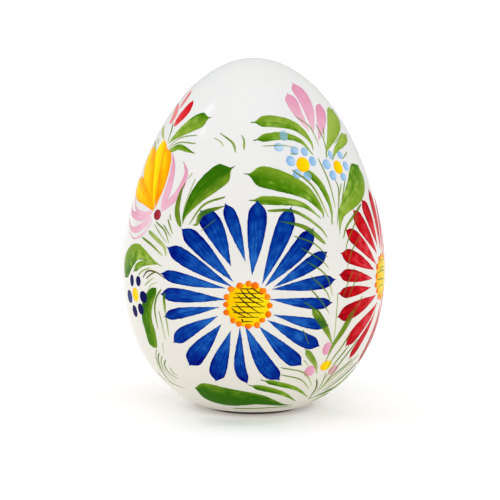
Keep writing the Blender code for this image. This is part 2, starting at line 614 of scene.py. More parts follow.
@dataclass(frozen=True)
class AgglomeratedCork(Finish):
    """Pressed cork granules, cut and sanded."""

    name: str = "agglomerated_cork"
    light: str = "#c9a273"
    dark: str = "#8d6238"
    seam: str = "#4a2f1a"
    granule_mm: float = 1.6

    def paint(self, tree: Tree) -> dict[str, Any]:
        """Gives the eye warm brown granules of many shades, each edged darker, with a dull skin.

        Args:
            tree: The material's nodes.

        Returns:
            What feeds the shader.
        """
        cells = {"Vector": add(tree, "TexCoord").outputs["Object"], "Scale": 1 / (self.granule_mm * MM)}
        seams = add(tree, "TexVoronoi", cells, feature="DISTANCE_TO_EDGE")
        shade = add(tree, "SeparateColor", [add(tree, "TexVoronoi", cells).outputs["Color"]])
        colour = {"Factor": shade, "A": linear(self.light), "B": linear(self.dark)}
        colour = add(tree, "Mix", colour, data_type="RGBA")
        seam = add(tree, "MapRange", [seams, 0.0, 0.12, 0.75, 0.0])
        colour = add(tree, "Mix", {"Factor": seam, "A": colour, "B": linear(self.seam)}, data_type="RGBA")
        bump = add(tree, "Bump", {"Height": seams, "Distance": 0.15 * MM, "Strength": 0.6})
        return {"Base Color": colour, "Roughness": 0.8, "Normal": bump}


@dataclass(frozen=True)
class WoolFelt(Finish):
    """Thin pressed wool felt."""

    name: str = "dark_wool_felt"
    body: str = "#3a332b"
    light: str = "#5c5144"
    fibre_mm: float = 0.25
    stretch: float = 4.0  # how many times longer than wide a fibre shows

    def paint(self, tree: Tree) -> dict[str, Any]:
        """Gives the eye a dark, soft, matted surface with paler fibres and no shine.

        Args:
            tree: The material's nodes.

        Returns:
            What feeds the shader.
        """
        where = add(tree, "TexCoord").outputs["Object"]
        where = add(tree, "Mapping", {"Vector": where, "Scale": (1.0, self.stretch, 1.0)})
        scale = 1 / (self.fibre_mm * self.stretch * MM)
        fibres = add(tree, "TexNoise", {"Vector": where, "Scale": scale, "Detail": 5.0, "Distortion": 2.0})
        colour = {"Factor": fibres, "A": linear(self.body), "B": linear(self.light)}
        colour = add(tree, "Mix", colour, data_type="RGBA")
        bump = add(tree, "Bump", {"Height": fibres, "Distance": 0.2 * MM, "Strength": 0.8})
        return {"Base Color": colour, "Roughness": 0.95, "Sheen Weight": 0.4, "Normal": bump}


@dataclass(frozen=True)
class Sweep(Finish):
    """The matt white board of a studio sweep."""

    name: str = "matt_white_sweep"
    white: str = "#f9f9f9"
    glow: float = 0.16  # light that comes through the sweep from lamps under it

    def paint(self, tree: Tree) -> dict[str, Any]:
        """Gives the eye an even white with no shine and no pattern."""
        glow = {"Emission Color": linear("#ffffff"), "Emission Strength": self.glow}
        return {"Base Color": linear(self.white), "Roughness": 1.0, "Specular IOR Level": 0.0, **glow}


# ---------------------------------------------------------------- turned pieces


def arc(middle: Point, across: float, up: float, start: float, stop: float, steps: int = 5) -> list[Point]:
    """Gives a round or oval stretch of an outline.

    Args:
        middle: The radius and height of its middle.
        across: Half of its breadth.
        up: Half of its height.
        start: Where it starts, in quarter turns from straight outwards.
        stop: Where it stops.
        steps: How many stretches it has.

    Returns:
        Radius and height of each point.
    """
    turns = np.linspace(start, stop, steps + 1) * math.pi / 2
    return [(middle[0] + across * math.cos(turn), middle[1] + up * math.sin(turn)) for turn in turns]


@dataclass
class TurnedPieces:
    """The glaze, the clay, the felt and the cork, each turned from its outline."""

    egg: EggShape
    tree: Tree
    glaze_thickness: float = 0.5 * MM
    glaze_seat: float = 0.3 * MM
    wall: float = 4.0 * MM
    floor_thickness: float = 4.0 * MM
    recess_radius: float = 11.5 * MM
    recess_depth: float = 6.0 * MM
    vent_radius: float = 8.0 * MM
    foot_round: float = 0.5 * MM
    cork_taper: float = 0.6 * MM
    cork_chamfer: float = 0.5 * MM
    cork_step: float = 0.4 * MM  # longest stretch of the cork's outline
    felt_margin: float = 0.7 * MM  # from the recess's edge to the felt
    felt_round: float = 0.25 * MM
    around: int = 256
    glaze_rows: tuple[int, int] = (170, 90)  # stretches of the outline outside and inside
    clay_rows: tuple[int, int] = (70, 60)
    weld: float = 0.001 * MM

    def turn(self, name: str, outline: list[Point], finish: Finish) -> Thing:
        """Turns one outline.

        Args:
            name: The piece's name.
            outline: Radius and height of each point, clockwise seen with the axis on the left.
            finish: Its finish.

        Returns:
            The piece.
        """
        points = np.array([(radius, 0.0, z) for radius, z in outline])
        inputs = {"Steps around": self.around, "Weld": self.weld, "Material": finish.material()}
        return run_tree(self.tree, name, points, inputs)

    def glaze(self) -> Thing:
        """Builds the glazed shell, whose low edge is a rounded roll where the glaze was wiped.

        Returns:
            The shell.
        """
        roll = self.glaze_thickness / 2
        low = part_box("glaze_coat")[0].z + roll
        outer = self.egg.profile(low, self.egg.skin, self.glaze_rows[0])
        inner = self.egg.profile(low, self.glaze_thickness, self.glaze_rows[1])
        (r0, z0), (r1, _) = outer[-1], inner[-1]
        bend = arc(((r0 + r1) / 2, z0), (r0 - r1) / 2, roll, 0, -2, 8)[1:-1]
        return self.turn("glazed_shell", outer + bend + inner[::-1], WhiteGlaze())

    def clay(self) -> Thing:
        """Builds the hollow clay body with its foot ring, recess, vent hole and cavity.

        Returns:
            The body.
        """
        foot, bend, inset = self.egg.foot_z, self.foot_round, self.glaze_thickness + self.glaze_seat
        roof = foot + self.recess_depth
        ground = roof + self.floor_thickness
        outer = self.egg.profile(foot + bend, inset, self.clay_rows[0])
        edge = arc((outer[-1][0] - bend, foot + bend), bend, bend, 0, -1)[1:]
        edge += arc((self.recess_radius + bend, foot + bend), bend, bend, -1, -2)
        edge += [(self.recess_radius, roof), (self.vent_radius, roof), (self.vent_radius, ground)]
        inner = self.egg.profile(ground, inset + self.wall, self.clay_rows[1])
        return self.turn("clay_body", outer + edge + inner[::-1], Biscuit())

    def cork(self) -> Thing:
        """Builds the tapered cork with its chamfered ends.

        Returns:
            The cork.
        """
        low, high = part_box("vent_cork")
        wide, cut = high.x, self.cork_chamfer
        narrow = wide - self.cork_taper
        corners = [
            (0.0, high.z), (narrow - cut, high.z), (narrow, high.z - cut),
            (wide, low.z + cut), (wide - cut, low.z), (0.0, low.z),
        ]
        outline = corners[:1]
        for (r0, z0), (r1, z1) in zip(corners, corners[1:]):
            steps = max(2, round(math.hypot(r1 - r0, z1 - z0) / self.cork_step))
            shares = np.linspace(0, 1, steps + 1)[1:]
            outline += [(r0 + (r1 - r0) * share, z0 + (z1 - z0) * share) for share in shares]
        return self.turn("vent_stopper", outline, AgglomeratedCork())

    def felt(self) -> Thing:
        """Builds the felt ring with softened edges.

        Returns:
            The ring.
        """
        low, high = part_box("foot_felt")
        soft = self.felt_round
        inner, outer = self.recess_radius + self.felt_margin + soft, high.x - soft
        top, bottom = high.z - soft, low.z + soft
        corners = ((outer, top, 1, 0), (outer, bottom, 0, -1), (inner, bottom, -1, -2), (inner, top, 2, 1))
        outline = [point for r, z, *turns in corners for point in arc((r, z), soft, soft, *turns)]
        return self.turn("felt_ring", [*outline, outline[0]], WoolFelt())

    def build(self) -> None:
        """Builds the four pieces and hands them to the frame."""
        give(self.glaze(), "egg", "painted_glaze", "glaze_coat")
        give(self.clay(), "egg", "fired_clay", "biscuit_body")
        give(self.felt(), "egg", "felt", "foot_felt")
        give(self.cork(), "cork", "cork", "vent_cork")


# ---------------------------------------------------------------- brush strokes


class Kind(enum.Enum):
    """How a stroke widens and narrows.

    Its values are the powers by which it widens at its start and narrows at its end, the share of
    its length that its first point takes, how sharply it swells behind that point, and the width in
    mm that it keeps all along.
    """

    PETAL = (0.4, 1.05, 0.08, 1.8, 0.35)
    LEAF = (0.42, 1.1, 0.11, 3.2, 0.45)
    BLADE = (0.45, 1.5, 0.05, 1.8, 0.3)
    BAR = (0.45, 0.22, 0.02, 2.0, 0.0)
    LINER = (0.3, 0.5, 0.01, 2.0, 0.0)
    COMMA = (1.0, 0.5, 0.01, 2.0, 0.3)
    BUD = (0.75, 0.7, 0.06, 1.8, 0.2)
    DOT = (0.5, 0.5, 0.01, 2.0, 0.0)

    def widths(self, along: np.ndarray, widest: float) -> np.ndarray:
        """Gives a stroke's width.

        Args:
            along: Places along it, from 0 to 1.
            widest: Its greatest width, in mm.

        Returns:
            The width at each place, in mm.
        """
        start, end, point, swell, least = self.value

        def shape(t: np.ndarray) -> np.ndarray:
            """Gives the unscaled width at places along the stroke."""
            return (1 - np.exp(-((t / point) ** swell))) * t**start * (1 - t) ** end

        width = shape(along) / shape(np.linspace(0, 1, 400)).max() * widest
        # The least width runs out over the last thirtieth at each end.
        return np.maximum(width, least * np.minimum(1, 30 * np.minimum(along, 1 - along)))


class Film(enum.Enum):
    """The films of pigment in the order in which they are painted, and the coat that each belongs to."""

    LEAVES = ("leaf_strokes", 0)
    BLUE = ("daisy_petals_blue", 1)
    RED = ("daisy_petals_red", 1)
    PINK = ("pink_petals", 1)
    TULIP = ("tulip_petals", 1)
    CRIMSON = ("crimson_buds", 1)
    SKY = ("pale_blue_dots", 1)
    NAVY = ("navy_dots", 1)
    MAROON = ("maroon_dots", 2)
    YELLOW = ("yellow_centres", 2)
    ORANGE = ("orange_dots", 3)
    HATCH = ("centre_hatching", 3)
    LINERS = ("liner_strokes", 3)


PIGMENTS = {
    Film.LEAVES: Pigment(
        "leaf_green_glaze", "#316805", "#518509", "#9ab64a", "#82a22a", streak=0.55, blotch=1.2, pool=0.25
    ),
    Film.BLUE: Pigment(
        "cobalt_blue_glaze", "#010874", "#043c9a", "#2468bb",
        hair_mm=0.32, streak=0.6, blotch=0.8, pool=0.5, tip=0.4,
    ),
    Film.RED: Pigment("iron_red_glaze", "#94020e", "#c60818", "#df4854", streak=0.55, blotch=1.1, pool=0.3),
    Film.PINK: Pigment("rose_pink_glaze", "#dc8dac", "#e4a2ba", "#efc6d4", streak=0.35, pool=0.2),
    Film.TULIP: Pigment(
        "sun_yellow_glaze", "#fb8c02", "#fdc204", "#ffe20a", "#fd9e04",
        streak=0.4, pool=0.55, tip=-0.1, tail=-0.35,
    ),
    Film.CRIMSON: Pigment("crimson_glaze", "#cc0c1a", "#dc222b", "#e88a8c", pool=0.2),
    Film.SKY: Pigment("pale_blue_glaze", "#7aaadb", "#98c1e6", "#c2dbf2", streak=0.35, crossing="#6fa39c"),
    Film.NAVY: Pigment("navy_glaze", "#02024e", "#070f5c", "#2f4690", streak=0.3),
    Film.MAROON: Pigment("maroon_glaze", "#84182a", "#a02433", "#c05361", streak=0.4),
    Film.YELLOW: Pigment("centre_yellow_glaze", "#f5b702", "#fdd002", "#ffe31c", streak=0.3),
    Film.ORANGE: Pigment("orange_glaze", "#e05e03", "#fa7a0a", "#fb9a28", streak=0.3),
    Film.HATCH: Pigment("olive_liner_glaze", "#1c1c04", "#33300a", "#6a6415", streak=0.3, tip=0.0),
    Film.LINERS: Pigment("green_liner_glaze", "#4a660e", "#728f26", "#adc06c", streak=0.4, pool=0.1, tip=0.1),
}

# The films that show through a later one where it crosses them.
UNDER = {Film.SKY: (Film.LEAVES,), Film.LINERS: (Film.BLUE, Film.RED)}


@dataclass(frozen=True)
class Stroke:
    """One touch of the brush: its path on a chart, its greatest width and how full the brush was."""

    film: Film
    kind: Kind
    width: float  # mm
    tone: float
    path: tuple[Point, ...]


def strokes(film: Film, kind: Kind, *rows: tuple) -> list[Stroke]:
    """Makes strokes of one pigment and kind.

    Args:
        film: The pigment's film.
        kind: How the strokes widen.
        *rows: For each stroke its width in mm, its tone, and the places that the brush passes.

    Returns:
        The strokes.
    """
    return [Stroke(film, kind, row[0], row[1], tuple(row[2:])) for row in rows]


def dots(film: Film, tone: float, *rows: tuple[float, float, float, float]) -> list[Stroke]:
    """Makes dots.

    Args:
        film: The pigment's film.
        tone: How full the brush was.
        *rows: For each dot its place right and up, and its radii right and up, in mm.

    Returns:
        The strokes.
    """
    return [
        Stroke(film, Kind.DOT, 2 * high, tone, ((right - wide, up), (right, up), (right + wide, up)))
        for right, up, wide, high in rows
    ]


CROWDING = 0.35  # how far a path's points crowd towards its ends, where the outline turns fastest
FEWEST = 7  # points of a path
SPLINE_STEPS = 24  # from one place of a path to the next, where its curve is measured


def smooth_path(path: tuple[Point, ...], step: float) -> np.ndarray:
    """Draws a smooth line through the places that a stroke passes.

    Args:
        path: Two or more places, in mm.
        step: The distance between the line's points, in mm.

    Returns:
        Rows of right and up, in mm.
    """
    places = np.array(path, float)
    ends = np.vstack([2 * places[0] - places[1], places, 2 * places[-1] - places[-2]])
    t = np.linspace(0, 1, SPLINE_STEPS, endpoint=False)[:, None]
    # Catmull and Rom's spline, which passes through every place.
    parts = [
        0.5 * (2 * b + (c - a) * t + (2 * a - 5 * b + 4 * c - d) * t**2 + (3 * b - a - 3 * c + d) * t**3)
        for a, b, c, d in zip(ends, ends[1:], ends[2:], ends[3:])
    ]
    line = np.vstack([*parts, places[-1:]])
    far = np.concatenate([[0], np.cumsum(np.hypot(*np.diff(line, axis=0).T))])
    count = max(FEWEST, math.ceil(far[-1] / step) + 1)
    share = np.linspace(0, 1, count)
    share = (1 - CROWDING) * share + CROWDING * (1 - np.cos(math.pi * share)) / 2
    return np.column_stack([np.interp(share * far[-1], far, line[:, k]) for k in (0, 1)])


# ---------------------------------------------------------------- motifs

G, L = Film.LEAVES, Film.LINERS


@dataclass(frozen=True)
class Daisy:
    """A daisy of separate petal strokes around a dotted yellow centre."""

    film: Film
    petals: tuple[tuple[float, ...], ...]  # tip and base as directions and reaches, width, lean
    centre_radius: float
    dot_count: int
    hatching: tuple[Stroke, ...] = ()
    centre: Point = (0.0, 0.0)  # the yellow centre beside the place where the petals would meet
    belly: float = 0.35  # how far down a petal its widest part lies

    def strokes(self) -> list[Stroke]:
        """Paints the petals from their tips inwards, then the centre, its rim of dots and its hatching."""
        made, draw = [], random.Random(self.dot_count)
        for turn, reach, base_turn, base, width, lean in self.petals:
            tip, end = (
                np.array((math.cos(math.radians(a)), math.sin(math.radians(a)))) * r
                for a, r in ((turn, reach), (base_turn, base))
            )
            down = end - tip
            middle = tip + down * self.belly + np.array((-down[1], down[0])) / math.hypot(*down) * lean
            made.append(Stroke(self.film, Kind.PETAL, width, 0.5, (tuple(tip), tuple(middle), tuple(end))))
        radius, (right, up) = self.centre_radius, self.centre
        made += dots(Film.YELLOW, 0.5, (right, up, radius, radius))
        for k in range(self.dot_count):
            turn = 2 * math.pi * (k + draw.uniform(-0.12, 0.12)) / self.dot_count
            out, size = radius * draw.uniform(0.92, 1.04), draw.uniform(0.85, 1.15)
            x, y = right + out * math.cos(turn), up + out * math.sin(turn)
            made += dots(Film.ORANGE, draw.uniform(0.3, 0.8), (x, y, size * draw.uniform(0.9, 1.3), size))
        return [*made, *self.hatching]


HATCHING = strokes(
    Film.HATCH, Kind.LINER,
    *(
        (0.42, 0.5, (-half, up), (0.5, up), (half + 0.5, up))
        for up, half in zip((5.5, 4, 2.5, 1, -0.5, -2.5, -4, -5.5), (2.5, 4.5, 5, 4.5, 5.5, 5, 3.5, 1.5))
    ),
    (0.48, 0.7, (-2.5, 5.5), (-0.5, 3), (2.5, 1), (5.5, -0.5)),
    (0.48, 0.7, (-0.5, 5.5), (1.5, 3.5), (5.5, 1)),
    (0.5, 0.8, (1, 6), (4, 4), (5, 3.5)), (0.48, 0.7, (-3.5, 3.5), (-1, 1), (1.5, -1), (4.5, -3)),
    (0.45, 0.7, (-4, 0.5), (-2, -1.5), (2, -4)), (0.5, 0.7, (-5.5, -1), (-3.5, -2.5), (-0.5, -4)),
    (0.6, 0.9, (-2, -4.5), (-1.5, -6)),
)

BLUE_DAISY = Daisy(
    Film.BLUE,
    (
        (85, 35, 82, 10, 6.4, 0.4), (66, 35.5, 56, 8.5, 6, 0.3), (48, 33.5, 48, 8.5, 5.8, 0.7),
        (31, 32.5, 35, 10.5, 4.8, 0), (13, 32, 34, 9.5, 4.6, 0), (359, 30, 16, 7.5, 4, 0.5),
        (344, 29.5, 339, 9, 3.9, 0.5), (328, 29.5, 322, 8, 5.1, 0.4), (309, 29, 297, 8, 5.4, 0.4),
        (290, 30.5, 262, 7, 5.9, 1.1), (269, 30, 251, 8, 4, 1.6), (249, 31.5, 237, 10.5, 5.9, 0.6),
        (228, 31.5, 217, 11, 6.4, 0.5), (209, 31, 201, 10.5, 4.8, 0.8), (191, 31.5, 185, 9.5, 3.8, 0.4),
        (177, 32.5, 166, 7.5, 4.8, 0.4), (165, 33.5, 142, 9, 4.2, 0.2), (149, 34.5, 130, 8, 5.4, 0.5),
        (134, 34, 121, 9, 5.7, 0.7), (118, 35, 113, 14, 7, 1.3), (103, 34.5, 93, 14.5, 4.5, 0.4),
    ),
    7.4, 16, tuple(HATCHING),
)

RED_DAISY = Daisy(
    Film.RED,
    (
        (86, 30.5, 76, 9, 5, 0.3), (104, 28.5, 95, 10.5, 5.4, 0.3), (119, 28.5, 105, 8.5, 5.6, -0.7),
        (137, 27.5, 127, 6, 5, 0.2), (155, 26.5, 150, 6.5, 4.9, 0.3), (171, 26, 176, 7, 4.3, 0.2),
        (185, 26, 196, 8.5, 3.9, 0.1), (202, 27.5, 240, 6.5, 5.8, 0), (231, 28, 264, 8.5, 5.7, 1.3),
        (247, 30, 261, 11.5, 4, 1), (270, 32, 280, 14, 4.6, 0.3), (288, 29, 285, 10, 5.2, 0.3),
        (305, 26.5, 300, 9, 5, 0.4), (322, 24, 318, 9, 4.6, 0.3), (339, 22.5, 337, 10, 4.2, 0.2),
        (356, 22, 358, 11, 4, 0.3), (13, 22.5, 12, 10, 4.4, 0.3), (31, 24, 30, 9, 4.8, 0.2),
        (49, 26.5, 48, 8.5, 4.8, 0.4), (68, 28.5, 65, 9, 4.6, 0.3),
    ),
    7.6, 15,
    tuple(
        strokes(
            L, Kind.LINER,
            (0.4, 0.4, (-0.5, 4.5), (3.5, 5.5), (8.5, 4.5)), (0.4, 0.4, (-0.5, 3), (3.5, 3), (9, 2)),
            (0.5, 0.6, (-3, 1.5), (2, 2), (9.5, 0.5)), (0.45, 0.5, (-3, -0.5), (2.5, -1), (9.5, -2)),
            (0.4, 0.4, (-2.5, -3.5), (2, -3), (9, -4.5)), (0.35, 0.4, (-0.5, -6), (4.5, -5.5), (8, -6)),
            (0.3, 0.3, (1, 6.5), (5.5, 1), (9.5, -3)), (0.3, 0.3, (2.5, 0.5), (5, -3), (8, -6)),
        )
    ),
    centre=(3.5, -0.4),
)

SPRAY = (
    strokes(
        G, Kind.LEAF,
        (4.5, 0.25, (-21, 38), (-13, 38.4), (-6, 36), (-2.5, 30.5), (-2.5, 27)),
        (3.0, 0.5, (-22.5, 31.5), (-13, 33), (-6.5, 31), (-3, 25.5)),
        (7.5, 0.6, (-29, 20), (-19.5, 18), (-10, 13.5), (-5, 7), (-4.5, 4)),
        (3.0, 0.45, (-29.5, 11), (-20, 10.7), (-11.5, 9), (-5.5, 4)),
        (2.4, 0.45, (-9, 22), (-3.5, 15.5), (-1, 7.5), (-1.5, 1.5)),
        (3.4, -0.1, (20.5, 31), (9, 27), (4.5, 23)),
    )
    + strokes(
        G, Kind.BLADE,
        (7.4, -0.25, (19, 40.5), (10.5, 33.5), (3.5, 27), (2, 24)),
        (10.4, 0.25, (20.5, 20), (14.5, 13), (4, 5.5), (1, -2)),
    )
    + strokes(
        L, Kind.LINER,
        (0.35, 0.5, (-20, 29.5), (-12.5, 29.5), (-8, 28)), (0.35, 0.5, (-11.5, 26.5), (-8.5, 26.5)),
        (1.14, 0.6, (-24, 7.5), (-15, 7), (-7, 1.5), (-4, -2.5)),
        (0.53, 0.5, (-16.5, -1), (-9.5, -4), (-4.5, -9)),
        (0.53, 0.5, (-14.5, -5), (-7.5, -9.5), (-4.5, -12.5)),
        (0.53, 0.5, (-13, -9.5), (-6, -14.5), (-3, -22)),
        (0.53, 0.5, (-11.5, -14.5), (-5.5, -20.5), (-4, -24.5)),
        (0.53, 0.5, (-12, -18.5), (-6.5, -24.5), (-4, -28)), (0.53, 0.5, (-14, -23), (-11, -25), (-8, -28)),
        (0.35, 0.4, (-13.5, -32.5), (-10.5, -38)), (0.7, 0.5, (-12.5, 21), (-6.5, 15), (-2.5, 4)),
        (0.53, 0.5, (-1.5, 24.5), (0.5, 15.5), (1, 7)), (0.44, 0.5, (-4.5, 40), (-0.5, 35.5), (0.5, 28.5)),
        (0.44, 0.5, (2.5, 36.5), (3.5, 30), (2.5, 24)), (0.44, 0.5, (5.5, 35), (4, 31)),
        (0.44, 0.4, (16.5, 32), (7.5, 28.5)), (0.44, 0.4, (14.5, 25), (10, 23)),
        (0.53, 0.5, (3.5, 16.5), (4, 12.5), (0.5, 1)), (0.53, 0.4, (6, 15), (4, 11)),
        (0.53, 0.4, (8.5, 16), (5.5, 11), (4, 8)), (1.06, 0.5, (15, 7), (5.5, 1), (2.5, -3.5)),
        (0.53, 0.5, (11.5, 3.5), (4.5, -4.5), (3, -9)), (0.48, 0.5, (11, -3.5), (6, -8), (3, -14)),
        (0.45, 0.5, (7, -13.5), (4, -17.5), (1.5, -22.5)),
        (0.4, 0.45, (9.5, -15), (5.5, -20.5), (3.5, -24)),
        (0.44, 0.5, (11.5, -23.5), (6, -30.5)), (0.35, 0.3, (-1, -21), (-1, -30), (-0.5, -38)),
    )
    + strokes(L, Kind.COMMA, (1.7, 0.6, (-20.5, 4), (-12, 1.5), (-5, -4.5)))
    + strokes(
        L, Kind.LEAF,
        (3.1, 0.6, (-11.5, -24.5), (-5.5, -32), (-0.5, -39.5)),
        (2.4, 0.4, (-11.5, -39.5), (-5.5, -46.5), (-3.5, -50.5)),
    )
    + strokes(
        Film.PINK, Kind.PETAL,
        (4.5, 0.5, (-3, 49.5), (-3, 41.5), (-1.5, 34)), (5.8, 0.5, (2, 54), (2.5, 44.5), (0, 33)),
        (4.6, 0.5, (10, 44), (5, 36), (1, 30.5)),
    )
    + dots(
        Film.SKY, 0.5,
        (-9.5, 27.5, 1.5, 1.6), (-6, 27, 1.4, 1.5), (-4, 23.5, 1.4, 1.7), (-7.5, 18.5, 1.6, 1.6),
        (-11, 19.5, 1.6, 1.7), (-12, 24, 1.7, 1.9), (4.5, 25, 1.2, 1.6), (9.5, 24.5, 1.6, 1.3),
        (11, 20.5, 1.6, 1.7), (8, 17, 1.6, 1.4), (3, 18, 1.6, 1.7), (1.5, 22, 1.8, 1.8),
    )
    + dots(Film.SKY, 0.2, (-14.5, 29, 1.8, 1.5), (-11.5, 33, 1.5, 1.9))
    + dots(Film.YELLOW, 0.55, (-8, 22.5, 2.5, 2.6), (6.5, 20.5, 2.2, 2.4))
)

GRASS = (
    strokes(G, Kind.BLADE, (12.0, 1.3, (-46, 10.5), (-33, 7), (-20.5, 5.5), (-9.5, 1), (-4.5, 0)))
    + strokes(
        G, Kind.LEAF,
        (2.7, 0.6, (-28, 14), (-15, 9.5), (-5.5, 3)), (2.2, 0.5, (-25, 16.5), (-11, 11.5), (-2, 5)),
        (4.2, 0.35, (24, 16.5), (16, 10.5), (9, 6), (2, 4)), (2.2, 0.9, (12, 7.5), (4.5, 5), (0, 3)),
    )
    + strokes(
        L, Kind.LINER,
        (0.53, 0.5, (-19, 18.5), (-10.5, 15.5), (-4.5, 10)),
        (0.53, 0.5, (-20, 21.5), (-10.5, 18.5), (-4, 11.5)),
        (0.26, 0.4, (-12.5, 24), (-9.5, 21)), (0.62, 0.8, (-4, 15), (-2, 11.5), (-1, 7.5), (0, 2.5)),
        (0.88, 0.5, (-24.5, -2), (-10, -1), (-3.5, -2)),
        (0.44, 0.5, (-1, 17.5), (-0.5, 14.5), (0, 11.5), (0, 6)),
        (0.75, 0.5, (5, 32), (2, 27), (-0.5, 23), (-1.5, 18.5)),
        (0.75, 0.5, (6, 27.5), (2, 22), (1, 19), (0, 14)),
        (0.75, 0.5, (10.5, 29), (5, 22), (2.5, 16), (1, 8)), (0.75, 0.5, (11, 21), (3.5, 15), (1, 7.5)),
        (0.65, 0.4, (15, 22), (7, 16.5), (2.5, 10)), (1.15, 0.8, (17.5, 18.5), (10, 12.5), (4, 7)),
        (1.3, 0.5, (11.5, 3), (6.5, 2.5), (4, -1)), (0.44, 0.3, (13.5, 19), (6.5, 12), (3, 8)),
    )
    + strokes(
        L, Kind.LEAF, (2.7, 0.6, (6, 41.5), (3.5, 37.5), (1, 33.5), (-1, 30.5), (-2.5, 27.5), (-3.5, 22))
    )
    + dots(Film.PINK, 0.6, (-4.5, 27.5, 1.9, 2.4), (-8.5, 19, 2.2, 2.4), (2, 18, 2.3, 1.9))
    + dots(Film.YELLOW, 0.5, (-2.5, 20.5, 2.4, 2.1))
)

LITTLE_FLOWER = (
    dots(Film.YELLOW, 0.4, (-0.5, -0.5, 2.3, 2.4))
    + dots(
        Film.NAVY, 0.9,
        (-3, 4, 1.7, 2.1), (2, 4.5, 1.7, 1.8), (5, -0.5, 2.3, 2.1), (-2.5, -6.5, 2.1, 2.1), (2.5, -5, 2, 2),
    )
    + dots(Film.NAVY, 0.4, (-6, -2, 2.6, 2.3))
    + strokes(G, Kind.BAR, (6.4, 0.9, (12.5, 3.5), (9, 0), (6.5, -4), (5.5, -8.5), (6, -12.5), (5, -18.5)))
    + strokes(G, Kind.BLADE, (8.2, 0.35, (-11.5, 3.5), (-8, 9), (-1.5, 13.5), (4, 14), (15, 11)))
    + strokes(G, Kind.LEAF, (2.4, 0.4, (-2, 7), (1.5, 9.5), (5.5, 11), (12.5, 11.5)))
    + strokes(
        Film.HATCH, Kind.LINER,
        (0.6, 0.2, (5, 6), (7.5, 8.5), (10.5, 9), (13.5, 8.5), (16.5, 7)),
        (0.55, 0, (7, 6), (10, 8), (12.5, 9)),
    )
    + strokes(
        L, Kind.LINER,
        (0.53, 0.4, (2, 6.5), (5, 8.5), (9.5, 10)), (0.44, 0.2, (6, 3.5), (9, 5.5), (11.5, 7)),
        (0.35, 0.1, (7.5, 1), (9.5, 4), (13, 5.5)),
        (0.88, 0.5, (2.5, 19.5), (9, 17.5), (15, 14.5)), (1.5, 0.25, (6, 22), (14.5, 18), (16.5, 14.5)),
        (0.62, 0.5, (9, 25.5), (14, 23), (17, 19)), (0.35, 0.4, (8.5, 24.5), (16, 19)),
        (0.44, 0.6, (13, 25), (17.5, 21)),
        (0.62, 0.5, (14.5, 27), (15.5, 25.5), (18, 22)), (0.53, 0.4, (15, 28.5), (16, 26.5)),
        (0.79, 0.6, (15, 3.5), (12.5, 0.5), (11, -3.5), (11, -7.5), (11, -11)),
        (1.23, 0.5, (16.5, 2.5), (16, 0.5), (16, -2.5), (16, -5)),
        (0.53, 0.3, (16, -5), (16, -9), (15.5, -13)), (0.44, 0.3, (13, -4), (13.5, -8), (13.5, -14.5)),
        (0.26, 0.2, (11.5, -15.5), (10, -20)),
        (0.7, 0.6, (7.5, -20), (4.5, -23.5), (2.5, -29.5), (3.5, -34), (9, -35.5)),
        (0.53, 0.6, (9.5, -22.5), (7, -25), (7, -28.5), (10, -30.5)),
        (0.4, 0.4, (9.5, -25.5), (9.5, -28), (11, -29)),
        (0.31, 0.2, (-4.5, -30.5), (-0.5, -33.5), (3, -35)),
        (0.44, 0.5, (8.5, -21), (5.5, -24.5), (5, -28.5), (7, -32.5)),
        (0.35, 0.4, (7, -18.5), (3.5, -23), (1.5, -28.5)),
    )
)

